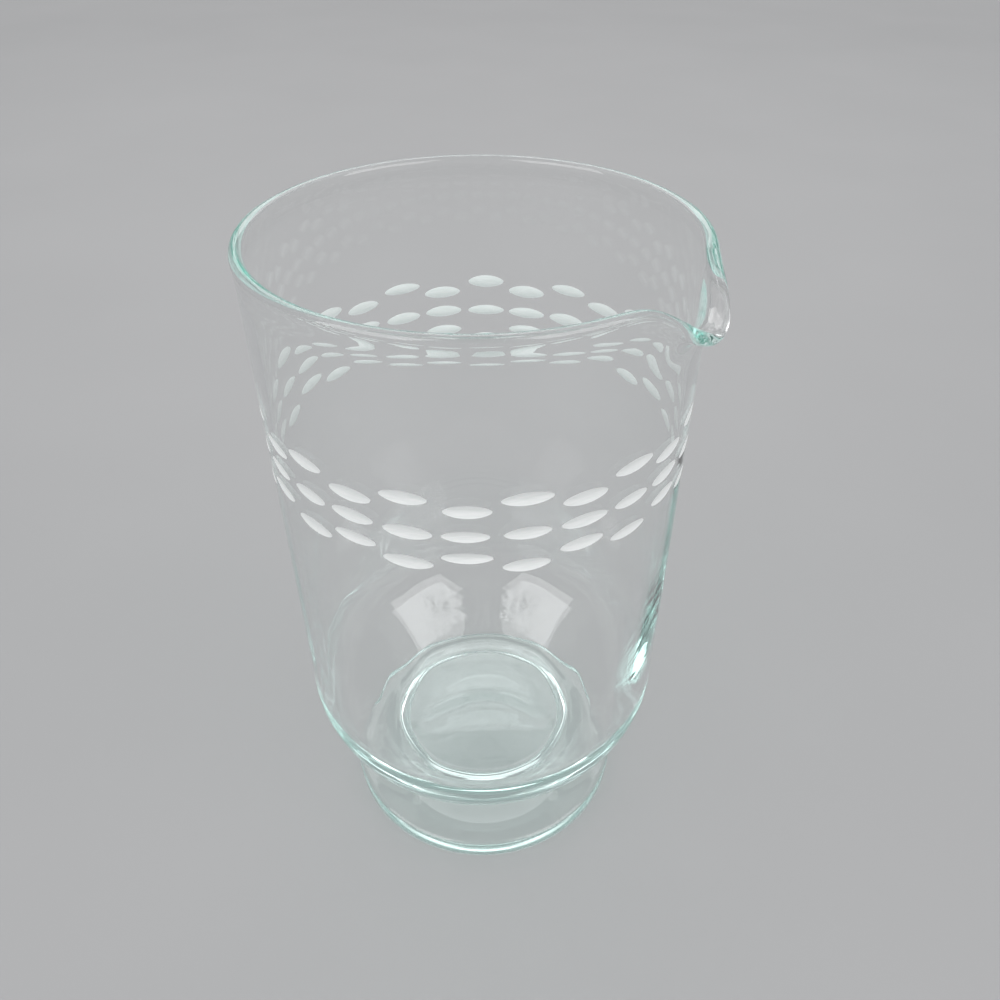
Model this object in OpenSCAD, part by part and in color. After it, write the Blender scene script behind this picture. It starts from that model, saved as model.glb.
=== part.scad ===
// Footed glass cocktail pitcher with a pinched pouring lip and a band of cut ovals.
// The origin is the middle of the flat seat under the foot, +Z is up and the lip points along +X.

/* [Body] */
// Outer diameter of the straight wall
body_d = 102; // [90:1:120]
// Height of the rim above the table
total_h = 180; // [160:1:210]
// Thickness of the blown wall
wall_t = 2.3; // [1.8:0.1:3]
// Radius of the rounded shoulder under the straight wall
shoulder_r = 26; // [23:1:29]
// Angle round the shoulder at which it runs out into a cone
shoulder_angle = 50; // [47:1:53]
// Rise of the inside shoulder above the outside one
shoulder_rise = 2; // [1:0.5:4]
// Difference between the outside and inside radius of the shoulder
shoulder_less = 3; // [2:0.5:4]
// Thickness of the solid glass between the foot and the inside floor
floor_t = 10; // [8:0.5:13]

/* [Foot] */
// Widest diameter of the foot
foot_d = 84; // [78:1:92]
// Height of the foot, up to its joint with the body
foot_h = 14; // [11:0.5:18]
// Thickness of the foot at its edge
foot_edge_h = 7; // [6:0.5:8]
// Radius of the rounded edges of the foot
foot_round_r = 1.8; // [1:0.1:2.5]
// Diameter of the neck that joins the foot to the body
neck_d = 50; // [46:1:54]
// Height of the straight part of the neck
neck_h = 2; // [1:0.5:3]

/* [Pouring lip] */
// Radius of the lip's edge, to the middle of the glass
lip_r = 13; // [11:0.1:16]
// Lean of the lip away from the axis
lip_lean = 57; // [45:1:62]

/* [Cut ovals] */
// Number of columns of ovals round the body, an even number
cut_columns = 26; // [20:2:28]
// Length of one oval round the body
cut_length = 10.6; // [8:0.2:11.4]
// Height of one oval
cut_height = 3.2; // [2:0.1:4]
// Distance from the rim down to the middle row
cut_below_rim = 43.5; // [36:0.5:60]
// Distance between rows in the columns that stand close
cut_pitch_close = 5.9; // [4.6:0.1:7]
// Distance between rows in the columns that stand open
cut_pitch_open = 8.5; // [7:0.1:10]
// Angle from the lip to the first close column
cut_turn = 20; // [0:0.5:28]

/* [Hidden] */
$fn = 96;

body_r = body_d / 2;
inner_r = body_r - wall_t;
bead_r = wall_t / 2;
rim_r = body_r - bead_r;
rim_z = total_h - bead_r;

// Point where a shoulder of the given size runs out into the cone
function shoulder_end(radius, corner_r, corner_z) = [
    radius - corner_r + corner_r * cos(shoulder_angle),
    corner_z - corner_r * sin(shoulder_angle)
];

// The cone outside rises from the neck, which stands on the foot, and carries the shoulder
foot_r = foot_d / 2;
neck_r = neck_d / 2;
cone_z = foot_h + neck_h;
cone_w = shoulder_end(body_r, shoulder_r, 0).x - neck_r;
shoulder_z = cone_z + cone_w / tan(shoulder_angle) + shoulder_r * sin(shoulder_angle);

// The cone inside ends at the floor
inner_shoulder_r = shoulder_r - shoulder_less;
inner_shoulder_z = shoulder_z + shoulder_rise;
inner_end = shoulder_end(inner_r, inner_shoulder_r, inner_shoulder_z);
floor_z = foot_h + floor_t;
floor_r = inner_end.x - (inner_end.y - floor_z) * tan(shoulder_angle);

// The top of the foot is a hollow curve, level at the edge, that rises to the neck
cove_x = foot_r - foot_round_r;
cove_w = cove_x - neck_r;
cove_h = foot_h - foot_edge_h;
cove_r = (cove_w * cove_w + cove_h * cove_h) / (2 * cove_h);

// The lip's edge crosses the rim at two points, so its middle lies on the chord between them
lip_x = sqrt(rim_r * rim_r - lip_r * lip_r);
lip_length = body_r;

// A straight round tool laid across the wall cuts an oval of the given length and height
cut_depth = cut_length * cut_length / 4 / body_d;
cut_tool_r = cut_height * cut_height / 8 / cut_depth;
cut_tool_share = 1.4;
cut_z = total_h - cut_below_rim;

glass = [0.78, 0.89, 0.86];

// Half section of a straight cylinder whose bottom rounds into a cone.
// The bottom is a list of points from the axis out to the end of the cone.
module funnel_section(radius, corner_r, corner_z, top_z, bottom) {
    corner = [radius - corner_r, corner_z];
    translate([0, corner_z])
        square([radius, top_z - corner_z]);
    polygon(concat(
        [[0, corner_z]],
        bottom,
        [shoulder_end(radius, corner_r, corner_z), corner]
    ));
    intersection() {
        translate(corner)
            circle(r = corner_r);
        translate([0, corner_z - corner_r])
            square([radius, corner_r]);
    }
}

// Half section of the blown wall, its thick bottom and its rounded rim
module body_section() {
    difference() {
        funnel_section(body_r, shoulder_r, shoulder_z, rim_z,
            [[0, foot_h], [neck_r, foot_h], [neck_r, cone_z]]);
        funnel_section(inner_r, inner_shoulder_r, inner_shoulder_z, total_h,
            [[0, floor_z], [floor_r, floor_z]]);
    }
    translate([rim_r, rim_z])
        circle(r = bead_r);
}

// Space inside the straight wall, open at the top
module body_space() {
    translate([0, 0, shoulder_z])
        cylinder(r = inner_r, h = total_h);
}

// Frame of the leaning lip: its edge lies in the plane z = 0
module at_lip() {
    translate([lip_x, 0, rim_z])
        rotate([0, lip_lean, 0])
            children();
}

// The lip is a short leaning trough with the same wall and the same rounded edge as the body.
// Only its half outside the chord is kept, and none of it stands above the rim.
module lip_shell() {
    intersection() {
        at_lip()
            rotate_extrude() {
                translate([lip_r - bead_r, -lip_length])
                    square([wall_t, lip_length]);
                translate([lip_r, 0])
                    circle(r = bead_r);
            }
        translate([lip_x, -body_r, 0])
            cube([body_r, body_d, total_h]);
    }
}

// Channel of the lip, carried on above its edge
module lip_space() {
    at_lip()
        translate([0, 0, -lip_length])
            cylinder(r = lip_r - bead_r, h = 2 * lip_length);
}

// One oval cut in the wall
module oval_cut(angle, z) {
    rotate([0, 0, angle])
        translate([body_r - cut_depth + cut_tool_r, 0, z])
            rotate([90, 0, 0])
                cylinder(r = cut_tool_r, h = cut_length * cut_tool_share, center = true);
}

// Three rows of ovals, in columns that stand close and open by turns
module oval_band() {
    for (column = [0 : cut_columns - 1])
        for (row = [-1 : 1])
            let (pitch = column % 2 == 0 ? cut_pitch_close : cut_pitch_open)
                oval_cut(cut_turn + column * 360 / cut_columns, cut_z + row * pitch);
}

// Blown body with its lip and cut band
module vessel() {
    color(glass)
        difference() {
            union() {
                difference() {
                    rotate_extrude()
                        body_section();
                    lip_space();
                }
                difference() {
                    lip_shell();
                    body_space();
                }
            }
            oval_band();
        }
}

// Half section of the foot's disc, with rounded edges
module disc_section() {
    square([foot_r - foot_round_r, foot_edge_h]);
    translate([0, foot_round_r])
        square([foot_r, foot_edge_h - 2 * foot_round_r]);
    for (z = [foot_round_r, foot_edge_h - foot_round_r])
        translate([foot_r - foot_round_r, z])
            circle(r = foot_round_r);
}

// Solid foot: a disc with a flat seat, and a top that sweeps up to the neck
module foot() {
    color(glass)
        rotate_extrude() {
            disc_section();
            difference() {
                polygon([
                    [0, foot_edge_h],
                    [cove_x, foot_edge_h],
                    [neck_r, foot_h],
                    [0, foot_h]
                ]);
                translate([cove_x, foot_edge_h + cove_r])
                    circle(r = cove_r);
            }
        }
}

vessel();
foot();
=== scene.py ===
"""Footed glass cocktail pitcher with a pinched pouring lip and a band of cut ovals.

One closed glass mesh stands in the part's frame: +Z is up and the lip points along +X.
The glass is worked out in millimetres and written to the mesh in metres.
"""

import math
import random

import bmesh
import bpy
import numpy as np
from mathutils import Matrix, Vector


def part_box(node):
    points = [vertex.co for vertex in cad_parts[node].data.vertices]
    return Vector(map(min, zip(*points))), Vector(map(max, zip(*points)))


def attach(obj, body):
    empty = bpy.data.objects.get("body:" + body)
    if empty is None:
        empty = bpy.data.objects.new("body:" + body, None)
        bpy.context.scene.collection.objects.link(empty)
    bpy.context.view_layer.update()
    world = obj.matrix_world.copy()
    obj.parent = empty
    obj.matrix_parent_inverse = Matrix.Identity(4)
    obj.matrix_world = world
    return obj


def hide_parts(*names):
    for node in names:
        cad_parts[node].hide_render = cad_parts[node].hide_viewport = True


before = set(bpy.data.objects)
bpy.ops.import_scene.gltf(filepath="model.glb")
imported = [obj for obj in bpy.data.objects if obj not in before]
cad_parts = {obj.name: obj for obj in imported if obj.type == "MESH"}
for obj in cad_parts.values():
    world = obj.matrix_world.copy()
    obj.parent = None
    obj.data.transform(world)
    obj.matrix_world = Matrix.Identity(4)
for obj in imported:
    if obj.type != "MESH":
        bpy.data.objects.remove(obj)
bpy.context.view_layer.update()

MM = 0.001

# Main sizes, read from the frame
BODY_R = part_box("vessel")[1].y / MM
TOTAL_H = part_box("vessel")[1].z / MM
FOOT_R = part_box("foot")[1].y / MM
FOOT_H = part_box("foot")[1].z / MM

# Wall, and the bead of the rim, which fades out below it
WALL = 2.3
BEAD_R = 1.5
BEAD_FADE = 3.0
RIM_R = BODY_R - WALL / 2
RIM_Z = TOTAL_H - BEAD_R
INNER_R = BODY_R - WALL

# Foot: a disc with a flat seat ring, a hollow in its middle and a sweep up to the neck
FOOT_EDGE = 7.2
FOOT_ROUND = 1.8
BROW_R = 1.5
BROW_ANGLE = 75
SEAT_HOLLOW = 2.2
HOLLOW_R = 22.0
HOLLOW_POWER = 1.5
HOLLOW_FIRST = 0.1
SEAT_RADII = (HOLLOW_R + 1.5, 30.0, 36.0)
NECK_R = 25.0
SWEEP = (
    (36.5, FOOT_EDGE + 0.9),
    (30.0, (FOOT_EDGE + FOOT_H) / 2),
    (NECK_R + 0.6, FOOT_H - 2.0),
    (NECK_R, FOOT_H),
    (NECK_R + 0.7, FOOT_H + 1.6),
    (NECK_R + 3.0, FOOT_H + 4.4),
)

# Shoulder outside and inside, which runs out into a cone, and the floor
SHOULDER_R = 26.0
SHOULDER_Z = 50.0
SHOULDER_ANGLE = 50.0
INNER_SHOULDER_R = 23.0
INNER_SHOULDER_Z = 52.0
FLOOR_Z = FOOT_H + 10.0
CORNER_REACH = 4.0
# Points of the floor's corner, from the place where the cone would meet the floor
CORNER = ((0.9, 1.15), (-1.6, 0.05), (-6.0, 0.0))
FLOOR_MIDDLE_R = 4.0

# Unevenness of the inside: tool rings above the floor, a ripple, and a thicker side
MARK_START = 2.0
MARK_REACH = 10.0
MARK_PITCH = 3.6
MARK_DEPTH = 0.02
RIPPLE_WAVES = (2, 3, 5, 9, 14, 23, 31)
RIPPLE_DEPTH = 0.05
RIPPLE_LEAN = 0.02
RIPPLE_SEED = 7
THICK_LEAST = 0.1
THICK_MOST = 0.9
THICK_TURN = math.radians(30.0)
THICK_FOCUS = 8
THICK_Z = 58.0
THICK_REACH = 28.0
UNEVEN_FROM = FLOOR_Z + 16.0
UNEVEN_TO = RIM_Z - 20.0
UNEVEN_FADE = 20.0

# Pouring lip: the rim drawn out and down, with one flank softer than the other
LIP_OUT = 5.4
LIP_DOWN = 9.8
LIP_HALF_WIDTH = 12.5
LIP_SHIFT = -1.5
LIP_SOFTNESS = (5.0, 3.5)
LIP_DEPTH = 17.0
LIP_SAMPLES = np.linspace(-60, 60, 2401)

# Cut ovals, in columns that stand close and open by turns
CUT_COLUMNS = 26
CUT_TURN = math.radians(20.0)
CUT_LENGTH = 10.6
CUT_HEIGHT = 3.2
CUT_DEPTH = 0.27
CUT_POINTED = 0.16
CUT_Z = TOTAL_H - 43.5
CUT_PITCHES = (5.9, 8.5)
CUT_ROWS = (-1, 0, 1)
CUT_SEED = 3
BAND_LOW = CUT_Z - 12.5
BAND_HIGH = CUT_Z + 12.5
ROW_HALF = 3.6

# Spread of the ovals, as cut by hand
SPREAD_X = 0.25
SPREAD_Z = 0.3
SPREAD_LENGTH = (0.92, 1.06)
SPREAD_HEIGHT = (0.9, 1.12)

# Columns of the mesh: each cell of the band holds one oval and is a number of columns wide
CELL_SPAN = 12
CELL_SIDES = {-1: 7, 0: 6, 1: 7}
CELL_SHARES = (0.5, 0.82, 1.0)
CUT_SHARES = (0.86, 0.68, 0.48, 0.26)
COLUMNS = CUT_COLUMNS * CELL_SPAN
STEP = 2 * math.pi / COLUMNS
START = CUT_TURN - STEP * CELL_SPAN / 2
ANGLES = START + STEP * np.arange(COLUMNS)

# Rings of the mesh
HOLLOW_RINGS = 12
EDGE_RINGS = 8
BROW_RINGS = 7
SWEEP_STEPS = 5
CONE_RINGS = 8
SHOULDER_RINGS = 22
WALL_RINGS = 7
INNER_WALL_RINGS = 16
INNER_CONE_RINGS = 22
CORNER_STEPS = 7
LIP_RINGS = 27
LIP_CROWDING = 1.3
RIM_RINGS = 11

# Glass
GLASS_IOR = 1.52
AQUA = (0.50, 0.86, 0.80, 1)
AQUA_DENSITY = 6.5
CLEAR = (0.965, 0.978, 0.974, 1)
WAVE_SCALE = (70, 70, 14)
SCUFF_SCALE = (900, 900, 900)
SCUFF_ROUGHNESS = 0.12
SEAT_LAYER = 0.00002
WHEEL_SCALE = (260, 260, 2600)
WHEEL_TONES = ((0.3, (0.88, 0.91, 0.90, 1)), (0.7, (0.97, 0.98, 0.98, 1)))

# Stage, in metres and watts
STAGE_HALF = 12.0
STAGE_Z = -0.00005
MOTTLE_SCALE = (6, 6, 6)
NEAR_TONES = ((0.0, (0.335, 0.335, 0.34, 1)), (1.0, (0.365, 0.365, 0.37, 1)))
# Painted light: far off, the floor's colour turns paler in place of the lamp light that doesn't
# reach there
FAR_PAINTED_LIGHT = (0.85, 0.85, 0.86, 1)
PALER_FROM, PALER_TO = 1.3, 4.2
SURROUND = (0.40, 0.405, 0.41, 1)
LAMP_TARGET = Vector((0, 0, 0.1))
LAMP_TURN = math.radians(-60)
# Name, distances ahead, aside and up, size and power. Ahead lies at the lamps' turn from +X.
LAMPS = (
    ("softbox_front_left", 1.26, -1.65, 1.74, (2.1, 1.8), 37.0),
    ("softbox_front_right", 1.26, 1.65, 1.74, (2.1, 1.8), 37.0),
    ("softbox_top_left", -1.05, -0.90, 2.55, (3.0, 0.9), 6.0),
    ("softbox_top_right", -1.05, 0.90, 2.55, (3.0, 0.9), 6.0),
    ("softbox_back", -1.80, 0.0, 1.50, (2.6, 1.2), 16.0),
)

# Camera, fitted to the photograph
CAMERA_PLACE = (0.0895, -0.1550, 0.2466)
CAMERA_TURN = (math.radians(51.74), 0, math.radians(28.28))
CAMERA_LENS = 30.73
CAMERA_SENSOR = 36.0

# Light passes many faces inside the glass before it leaves
GLASS_BOUNCES = 64
SHADOW_BOUNCES = 32


# Curves

def arc(centre, radius, first, last, count):
    """Points on a circle, between two angles in degrees."""
    turn = np.radians(np.linspace(first, last, count))
    return [(centre[0] + radius * math.cos(a), centre[1] + radius * math.sin(a)) for a in turn]


def spline(points, count):
    """A smooth curve through the points, with a number of steps between each two."""
    knots = np.array([points[0], *points, points[-1]], float)
    steps = np.linspace(0, 1, count, endpoint=False)[:, None]
    pieces = []
    for p0, p1, p2, p3 in zip(knots, knots[1:], knots[2:], knots[3:]):
        bend = 2 * p0 - 5 * p1 + 4 * p2 - p3
        twist = 3 * p1 - p0 - 3 * p2 + p3
        pieces.append(p1 + 0.5 * ((p2 - p0) * steps + bend * steps**2 + twist * steps**3))
    return [tuple(p) for p in np.concatenate(pieces)] + [tuple(points[-1])]


def straight(first, last, count):
    """Points on a straight line, both ends among them."""
    return [tuple(p) for p in np.linspace(first, last, count)]


# Profiles

def seat_profile():
    """Hollow under the foot, and the flat ring that the pitcher stands on."""
    hollow = []
    for share in np.linspace(HOLLOW_FIRST, 1, HOLLOW_RINGS):
        rise = math.cos(share * math.pi / 2) ** HOLLOW_POWER
        hollow.append((HOLLOW_R * share, SEAT_HOLLOW * rise))
    return hollow + [(r, 0.0) for r in SEAT_RADII]


def outer_profile():
    """Outside of the foot, neck, cone and shoulder, from the seat up to the straight wall."""
    edge = arc((FOOT_R - FOOT_ROUND, FOOT_ROUND), FOOT_ROUND, -90, 0, EDGE_RINGS)
    brow = arc((FOOT_R - BROW_R, FOOT_EDGE - BROW_R), BROW_R, 0, BROW_ANGLE, BROW_RINGS)
    sweep = spline([brow[-1], *SWEEP], SWEEP_STEPS)
    centre = (BODY_R - SHOULDER_R, SHOULDER_Z)
    shoulder = arc(centre, SHOULDER_R, -SHOULDER_ANGLE, 0, SHOULDER_RINGS)
    cone = straight(sweep[-1], shoulder[0], CONE_RINGS)
    return seat_profile() + edge + brow + sweep[1:] + cone[1:-1] + shoulder


def tool_marks(floor_r, points):
    """Faint rings on the cone just above the floor, left by the tool that opened it."""
    marked = []
    for r, z in points:
        away = r - floor_r - MARK_START
        if 0 < away < MARK_REACH:
            fade = math.sin(math.pi * away / MARK_REACH)
            z += MARK_DEPTH * fade * math.sin(2 * math.pi * away / MARK_PITCH)
        marked.append((r, z))
    return marked


def inner_profile():
    """Inside of the shoulder, cone and floor, from the straight wall down to the axis."""
    centre = (INNER_R - INNER_SHOULDER_R, INNER_SHOULDER_Z)
    shoulder = arc(centre, INNER_SHOULDER_R, 0, -SHOULDER_ANGLE, SHOULDER_RINGS)
    slope = math.tan(math.radians(90 - SHOULDER_ANGLE))
    floor_r = shoulder[-1][0] - (shoulder[-1][1] - FLOOR_Z) / slope
    cone_end = (floor_r + CORNER_REACH, FLOOR_Z + CORNER_REACH * slope)
    cone = straight(shoulder[-1], cone_end, INNER_CONE_RINGS)
    corner = [(floor_r + out, FLOOR_Z + up) for out, up in CORNER]
    floor = spline([cone_end, *corner, (FLOOR_MIDDLE_R, FLOOR_Z)], CORNER_STEPS)
    return shoulder + tool_marks(floor_r, cone[1:-1] + floor)


# Wall near the rim

def soft_half_circle(away, softness):
    """Height of a half circle with soft flanks, at a distance from its middle."""
    half_circle = np.sqrt(np.clip(1 - (LIP_SAMPLES / LIP_HALF_WIDTH) ** 2, 0, 1))
    blur = np.exp(-((LIP_SAMPLES / softness) ** 2) / 2)
    soft = np.convolve(half_circle, blur, "same")
    return np.interp(away, LIP_SAMPLES, soft / soft.max())


def lip_reach(angles):
    """Share of the lip's full reach round the rim."""
    away = ((angles + math.pi) % (2 * math.pi) - math.pi) * RIM_R - LIP_SHIFT
    flanks = [soft_half_circle(away, softness) for softness in LIP_SOFTNESS]
    return np.where(away < 0, *flanks)


def wall_middle(angles, drop):
    """Middle of the glass near the rim, a given drop below it, drawn out into the lip."""
    reach = lip_reach(angles) * max(0.0, 1 - drop / LIP_DEPTH) ** 2
    radius = RIM_R + LIP_OUT * reach
    z = RIM_Z - drop - LIP_DOWN * reach
    return np.stack([radius * np.cos(angles), radius * np.sin(angles), z], 1)


def wall_frame(drop):
    """Middle points, outward normals and upward edges of the wall at a drop below the rim."""
    tiny_turn, tiny_drop = 1e-4, 0.01
    middle = wall_middle(ANGLES, drop)
    along = wall_middle(ANGLES + tiny_turn, drop) - wall_middle(ANGLES - tiny_turn, drop)
    up = middle - wall_middle(ANGLES, drop + tiny_drop)
    normal = np.cross(along, up)
    normal /= np.linalg.norm(normal, axis=1)[:, None]
    up /= np.linalg.norm(up, axis=1)[:, None]
    return middle, normal, up


def wall_ring(drop, side):
    """One ring on the outside (side 1) or the inside (side -1) of the wall near the rim."""
    middle, normal, _ = wall_frame(drop)
    swell = (BEAD_R - WALL / 2) * math.exp(-((drop / BEAD_FADE) ** 2))
    return middle + side * (WALL / 2 + swell) * normal


def rim_rings():
    """Fire-polished half-round edge, from the outside over to the inside."""
    middle, normal, up = wall_frame(0.0)
    turns = np.linspace(0, math.pi, RIM_RINGS)
    return [middle + BEAD_R * (math.cos(a) * normal + math.sin(a) * up) for a in turns]


# Unevenness of the inside

def ripple(ring):
    """Slight unevenness of the blown wall, which runs along its height."""
    pick = random.Random(RIPPLE_SEED)
    turn = np.arctan2(ring[:, 1], ring[:, 0])
    swell = np.zeros(len(ring))
    for waves in RIPPLE_WAVES:
        phase = pick.uniform(0, 2 * math.pi)
        lean = pick.uniform(-RIPPLE_LEAN, RIPPLE_LEAN)
        height = RIPPLE_DEPTH / math.sqrt(waves)
        swell += height * np.cos(waves * turn + phase + lean * ring[:, 2])
    return swell


def thickening(ring):
    """Extra glass low in the wall, where it gathered on one side while it was soft."""
    turn = np.arctan2(ring[:, 1], ring[:, 0])
    side = ((1 + np.cos(turn - THICK_TURN)) / 2) ** THICK_FOCUS
    level = np.exp(-(((ring[:, 2] - THICK_Z) / THICK_REACH) ** 2))
    return (THICK_LEAST + (THICK_MOST - THICK_LEAST) * side) * level


def uneven(ring):
    """An inside ring with the unevenness of blown glass, which dies out at floor and rim."""
    z = ring[:, 2]
    fade = np.clip((z - UNEVEN_FROM) / UNEVEN_FADE, 0, 1)
    fade *= np.clip((UNEVEN_TO - z) / UNEVEN_FADE, 0, 1)
    shift = (ripple(ring) - thickening(ring)) * fade
    scale = 1 + shift / np.hypot(ring[:, 0], ring[:, 1])
    return ring * np.stack([scale, scale, np.ones(len(ring))], 1)


# Rings

def lathe_ring(radius, z):
    """One ring of points round the axis."""
    return np.stack([radius * np.cos(ANGLES), radius * np.sin(ANGLES), np.full(COLUMNS, z)], 1)


def lip_drops(first, last):
    """Drops below the rim, as far as the cut band, that crowd together towards the rim."""
    return (RIM_Z - BAND_HIGH) * np.linspace(first, last, LIP_RINGS) ** LIP_CROWDING


def outside_rings():
    """Rings from the seat up to the cut band, and from there up to the rim."""
    wall = np.linspace(SHOULDER_Z, BAND_LOW, WALL_RINGS)[1:]
    below = [lathe_ring(r, z) for r, z in outer_profile()]
    below += [lathe_ring(BODY_R, z) for z in wall]
    above = [lathe_ring(BODY_R, BAND_HIGH)]
    above += [wall_ring(drop, 1) for drop in lip_drops(1, 0)[1:-1]]
    return below, above


def inside_rings():
    """Rings from just under the rim down to the floor."""
    wall = np.linspace(BAND_HIGH, INNER_SHOULDER_Z, INNER_WALL_RINGS)[1:-1]
    rings = [wall_ring(drop, -1) for drop in lip_drops(0, 1)[1:]]
    rings += [lathe_ring(INNER_R, z) for z in wall]
    rings += [lathe_ring(r, z) for r, z in inner_profile()]
    return [uneven(ring) for ring in rings]


# The glass

class Shell:
    """Points and faces of the glass, gathered ring by ring."""

    def __init__(self):
        self.points = []
        self.faces = []
        self.cut = []

    def add(self, points):
        """Adds points and gives back their numbers."""
        first = len(self.points)
        self.points.extend(tuple(p) for p in points)
        return list(range(first, len(self.points)))

    def face(self, corners, cut=False):
        """Adds one face, which belongs to a cut or to the polished wall."""
        self.faces.append(corners)
        self.cut.append(cut)

    def bridge(self, lower, upper, cut=False):
        """Joins two closed rings of points."""
        count = len(lower)
        for i in range(count):
            j = (i + 1) % count
            self.face((lower[i], lower[j], upper[j], upper[i]), cut)

    def stack(self, rings, last, cut=False):
        """Joins rings one on top of the other, and gives back the last one's points."""
        for ring in rings:
            current = self.add(ring)
            self.bridge(last, current, cut)
            last = current
        return last

    def cap(self, ring, centre, cut=False):
        """Closes a ring with a fan round its middle."""
        middle = self.add([centre])[0]
        for i, corner in enumerate(ring):
            self.face((corner, ring[(i + 1) % len(ring)], middle), cut)


def on_wall(x, z, depth=0.0):
    """Point at an arc length and a height, on the straight wall or a depth inside it."""
    turn = x / BODY_R
    sink = 1 - depth / BODY_R
    return BODY_R * math.cos(turn) * sink, BODY_R * math.sin(turn) * sink, z


def oval_spot(column, row, pick):
    """Middle and half sizes of one oval, with the small spread of work done by hand."""
    x = BODY_R * (CUT_TURN + column * CELL_SPAN * STEP) + pick.uniform(-SPREAD_X, SPREAD_X)
    z = CUT_Z + row * CUT_PITCHES[column % 2] + pick.uniform(-SPREAD_Z, SPREAD_Z)
    half_x = CUT_LENGTH / 2 * pick.uniform(*SPREAD_LENGTH)
    half_z = CUT_HEIGHT / 2 * pick.uniform(*SPREAD_HEIGHT)
    return x, z, half_x, half_z


def cut_oval(shell, border, outline, turns, spot):
    """Fills one cell of the band: wall from its border in to the oval, then the cut's hollow."""
    x, z, half_x, half_z = spot
    oval = []
    for turn in turns:
        narrowing = 1 - CUT_POINTED * math.cos(turn) ** 2
        oval.append((half_x * math.cos(turn), half_z * math.sin(turn) * narrowing))
    wall = []
    for share in CELL_SHARES:
        wall.append([
            on_wall(px + (x + ox - px) * share, pz + (z + oz - pz) * share)
            for (px, pz), (ox, oz) in zip(outline, oval)
        ])
    hollow = []
    for share in CUT_SHARES:
        depth = CUT_DEPTH * (1 - share**2)
        hollow.append([on_wall(x + share * ox, z + share * oz, depth) for ox, oz in oval])
    edge = shell.stack(wall, border)
    last = shell.stack(hollow, edge, cut=True)
    shell.cap(last, on_wall(x, z, CUT_DEPTH), cut=True)


def cut_band(shell, lower, upper):
    """Band of cells, each with one oval, between a lower and an upper ring."""
    pick = random.Random(CUT_SEED)
    levels = [BAND_LOW, CUT_Z - ROW_HALF, CUT_Z + ROW_HALF, BAND_HIGH]
    rings = [lower, *(shell.add(lathe_ring(BODY_R, z)) for z in levels[1:3]), upper]
    sides = {}
    for row in CUT_ROWS:
        heights = np.linspace(levels[row + 1], levels[row + 2], CELL_SIDES[row] + 1)[1:-1]
        for column in range(CUT_COLUMNS):
            x = BODY_R * (START + column * CELL_SPAN * STEP)
            sides[column, row] = shell.add([on_wall(x, z) for z in heights]), heights
    for column in range(CUT_COLUMNS):
        places = [column * CELL_SPAN + k for k in range(CELL_SPAN + 1)]
        xs = [BODY_R * (START + place * STEP) for place in places]
        for row in CUT_ROWS:
            z0, z1 = levels[row + 1], levels[row + 2]
            bottom = [rings[row + 1][place % COLUMNS] for place in places]
            top = [rings[row + 2][place % COLUMNS] for place in places]
            left, heights = sides[column, row]
            right, _ = sides[(column + 1) % CUT_COLUMNS, row]
            border = bottom + right + top[::-1] + left[::-1]
            outline = [(x, z0) for x in xs] + [(xs[-1], z) for z in heights]
            outline += [(x, z1) for x in xs[::-1]] + [(xs[0], z) for z in heights[::-1]]
            cx, cz = (xs[0] + xs[-1]) / 2, (z0 + z1) / 2
            half_x, half_z = xs[-1] - cx, z1 - cz
            turns = [math.atan2((z - cz) / half_z, (x - cx) / half_x) for x, z in outline]
            cut_oval(shell, border, outline, turns, oval_spot(column, row, pick))


def build_glass():
    """The whole pitcher as one closed shell of glass."""
    shell = Shell()
    below, above = outside_rings()
    seat = shell.add(below[0])
    shell.cap(seat, (0, 0, SEAT_HOLLOW))
    under_band = shell.stack(below[1:], seat)
    over_band = shell.add(above[0])
    cut_band(shell, under_band, over_band)
    floor = shell.stack(above[1:] + rim_rings() + inside_rings(), over_band)
    shell.cap(floor, (0, 0, FLOOR_Z))
    return shell


def place_in_scene(name, data):
    """A new object of the scene."""
    item = bpy.data.objects.new(name, data)
    bpy.context.scene.collection.objects.link(item)
    return item


def glass_object(shell, materials):
    """Mesh of the shell, with sharp edges where a cut meets the polished wall."""
    mesh = bpy.data.meshes.new("pitcher_glass")
    bm = bmesh.new()
    points = [bm.verts.new((x * MM, y * MM, z * MM)) for x, y, z in shell.points]
    for corners, cut in zip(shell.faces, shell.cut):
        face = bm.faces.new([points[i] for i in corners])
        face.smooth = True
        face.material_index = 1 if cut else 0
    bmesh.ops.recalc_face_normals(bm, faces=bm.faces)
    for edge in bm.edges:
        edge.smooth = len({f.material_index for f in edge.link_faces}) == 1
    bm.to_mesh(mesh)
    bm.free()
    for material in materials:
        mesh.materials.append(material)
    return place_in_scene("pitcher_glass", mesh)


# Materials

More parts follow.
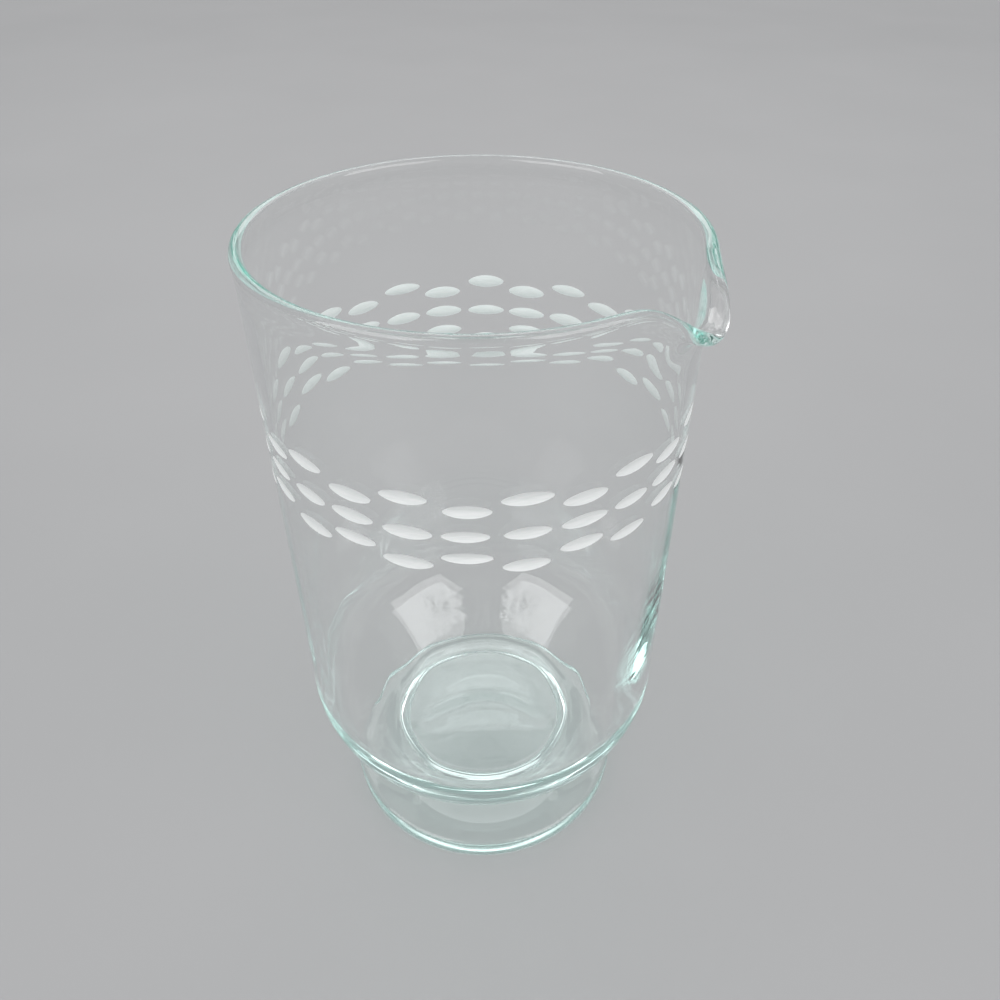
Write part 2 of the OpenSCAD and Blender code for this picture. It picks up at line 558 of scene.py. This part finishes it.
class Nodes:
    """A new material, with a small helper that adds linked shader nodes to it."""

    def __init__(self, name):
        self.material = bpy.data.materials.new(name)
        self.material.use_nodes = True
        self.tree = self.material.node_tree
        self.shader = self.tree.nodes["Principled BSDF"]
        self.output = self.tree.nodes["Material Output"]

    def add(self, kind, **inputs):
        """A new node, with its inputs set or linked by name."""
        node = self.tree.nodes.new("ShaderNode" + kind)
        self.put(node, **inputs)
        return node

    def put(self, node, **inputs):
        """Sets or links inputs by name, with _ for a space."""
        for name, value in inputs.items():
            socket = node.inputs[name.replace("_", " ")]
            if isinstance(value, bpy.types.NodeSocket):
                self.tree.links.new(value, socket)
            else:
                socket.default_value = value

    def place(self):
        """Object coordinates."""
        return self.add("TexCoord").outputs["Object"]

    def noise(self, scale, detail):
        """Noise with its own number of cells in a metre along each axis."""
        place = self.add("Mapping", Vector=self.place(), Scale=scale).outputs["Vector"]
        return self.add("TexNoise", Vector=place, Scale=1.0, Detail=detail).outputs["Fac"]

    def ramp(self, value, stops):
        """Colours between two stops."""
        ramp = self.add("ValToRGB", Fac=value)
        for element, (position, color) in zip(ramp.color_ramp.elements, stops):
            element.position = position
            element.color = color
        return ramp.outputs["Color"]

    def bump(self, height, strength, distance):
        """Normals bent by a height."""
        bump = self.add("Bump", Height=height, Strength=strength, Distance=distance)
        return bump.outputs["Normal"]

    def absorb(self):
        """Faint aqua of the glass, which shows where it is thick."""
        volume = self.add("VolumeAbsorption", Color=AQUA, Density=AQUA_DENSITY)
        self.put(self.output, Volume=volume.outputs["Volume"])

    def let_light_through(self):
        """Lamps and diffuse light pass the glass, so that its shadow and far side stay light."""
        path = self.add("LightPath")
        clear = self.add("BsdfTransparent", Color=CLEAR)
        surface = self.shader.outputs["BSDF"]
        for ray in ("Is Diffuse Ray", "Is Shadow Ray"):
            mix = self.add("MixShader", Fac=path.outputs[ray])
            self.tree.links.new(surface, mix.inputs[1])
            self.tree.links.new(clear.outputs["BSDF"], mix.inputs[2])
            surface = mix.outputs["Shader"]
        self.put(self.output, Surface=surface)


def clear_glass():
    """Polished blown glass: long soft waves along its height, and a scuffed seat."""
    nodes = Nodes("clear_glass")
    waves = nodes.noise(WAVE_SCALE, detail=2.0)
    height = nodes.add("SeparateXYZ", Vector=nodes.place()).outputs["Z"]
    seat = nodes.add("MapRange", Value=height, From_Min=SEAT_LAYER, From_Max=0.0,
                     To_Max=SCUFF_ROUGHNESS)
    worn = nodes.add("Math", Value=seat.outputs["Result"])
    worn.operation = "MULTIPLY"
    nodes.tree.links.new(nodes.noise(SCUFF_SCALE, detail=3.0), worn.inputs[1])
    nodes.put(
        nodes.shader,
        Base_Color=(1.0, 1.0, 1.0, 1),
        Transmission_Weight=1.0,
        IOR=GLASS_IOR,
        Roughness=worn.outputs["Value"],
        Normal=nodes.bump(waves, strength=0.02, distance=0.0004),
    )
    nodes.absorb()
    nodes.let_light_through()
    return nodes.material


def cut_glass():
    """Matte ground face of a cut, with fine marks of the wheel along it."""
    nodes = Nodes("cut_glass")
    marks = nodes.noise(WHEEL_SCALE, detail=4.0)
    nodes.put(
        nodes.shader,
        Base_Color=nodes.ramp(marks, WHEEL_TONES),
        Transmission_Weight=0.1,
        Specular_IOR_Level=0.0,
        IOR=GLASS_IOR,
        Roughness=0.65,
        Normal=nodes.bump(marks, strength=0.5, distance=0.00008),
    )
    nodes.absorb()
    return nodes.material


def floor_paint():
    """Plain pale floor with a very faint mottle, and painted light: its colour turns paler far
    away, where the lamps don't reach.
    """
    nodes = Nodes("floor_paint")
    away = nodes.add("VectorMath", Vector=nodes.place())
    away.operation = "LENGTH"
    far = nodes.add("MapRange", Value=away.outputs["Value"], From_Min=PALER_FROM,
                    From_Max=PALER_TO)
    far.interpolation_type = "SMOOTHSTEP"
    near = nodes.ramp(nodes.noise(MOTTLE_SCALE, detail=3.0), NEAR_TONES)
    # Painted light: the far floor takes the paler colour, standing in for missing lamp light
    paint = nodes.add("MixRGB", Fac=far.outputs["Result"], Color1=near, Color2=FAR_PAINTED_LIGHT)
    nodes.put(nodes.shader, Base_Color=paint.outputs["Color"], Roughness=0.55)
    return nodes.material


# Stage

def build_floor():
    """A flat floor just under the seat."""
    mesh = bpy.data.meshes.new("floor")
    corners = [(x * STAGE_HALF, y * STAGE_HALF, STAGE_Z)
               for x, y in ((-1, -1), (1, -1), (1, 1), (-1, 1))]
    mesh.from_pydata(corners, [], [(0, 1, 2, 3)])
    mesh.materials.append(floor_paint())
    place_in_scene("floor", mesh)


def softbox(name, place, size, power):
    """A large soft lamp that faces the middle of the pitcher."""
    light = bpy.data.lights.new(name, "AREA")
    light.shape = "RECTANGLE"
    light.size, light.size_y = size
    light.energy = power
    lamp = place_in_scene(name, light)
    lamp.location = place
    direction = lamp.location - LAMP_TARGET
    lamp.rotation_euler = direction.to_track_quat("Z", "Y").to_euler()


def build_light():
    """Two soft lamps in front, two overhead and one behind, in an even dim surround."""
    for name, ahead, side, z, size, power in LAMPS:
        x = ahead * math.cos(LAMP_TURN) - side * math.sin(LAMP_TURN)
        y = ahead * math.sin(LAMP_TURN) + side * math.cos(LAMP_TURN)
        softbox(name, (x, y, z), size, power)
    world = bpy.data.worlds.new("studio")
    world.use_nodes = True
    background = world.node_tree.nodes["Background"]
    background.inputs["Color"].default_value = SURROUND
    background.inputs["Strength"].default_value = 1.0
    bpy.context.scene.world = world


def build_camera():
    """Camera at the photograph's angle: above the rim, looking down past the lip."""
    data = bpy.data.cameras.new("camera")
    data.lens = CAMERA_LENS
    data.sensor_width = CAMERA_SENSOR
    data.clip_start = 0.01
    camera = place_in_scene("camera", data)
    camera.location = CAMERA_PLACE
    camera.rotation_euler = CAMERA_TURN
    bpy.context.scene.camera = camera


def set_render():
    """Plain colours, and enough bounces for glass. Caustics would count the lamps twice."""
    scene = bpy.context.scene
    scene.view_settings.view_transform = "Standard"
    scene.cycles.max_bounces = GLASS_BOUNCES
    scene.cycles.transmission_bounces = GLASS_BOUNCES
    scene.cycles.glossy_bounces = GLASS_BOUNCES
    scene.cycles.transparent_max_bounces = SHADOW_BOUNCES
    scene.cycles.caustics_refractive = False
    scene.cycles.caustics_reflective = False


glass = glass_object(build_glass(), [clear_glass(), cut_glass()])
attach(glass, "root")
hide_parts("vessel", "foot")
build_floor()
build_light()
build_camera()
set_render()
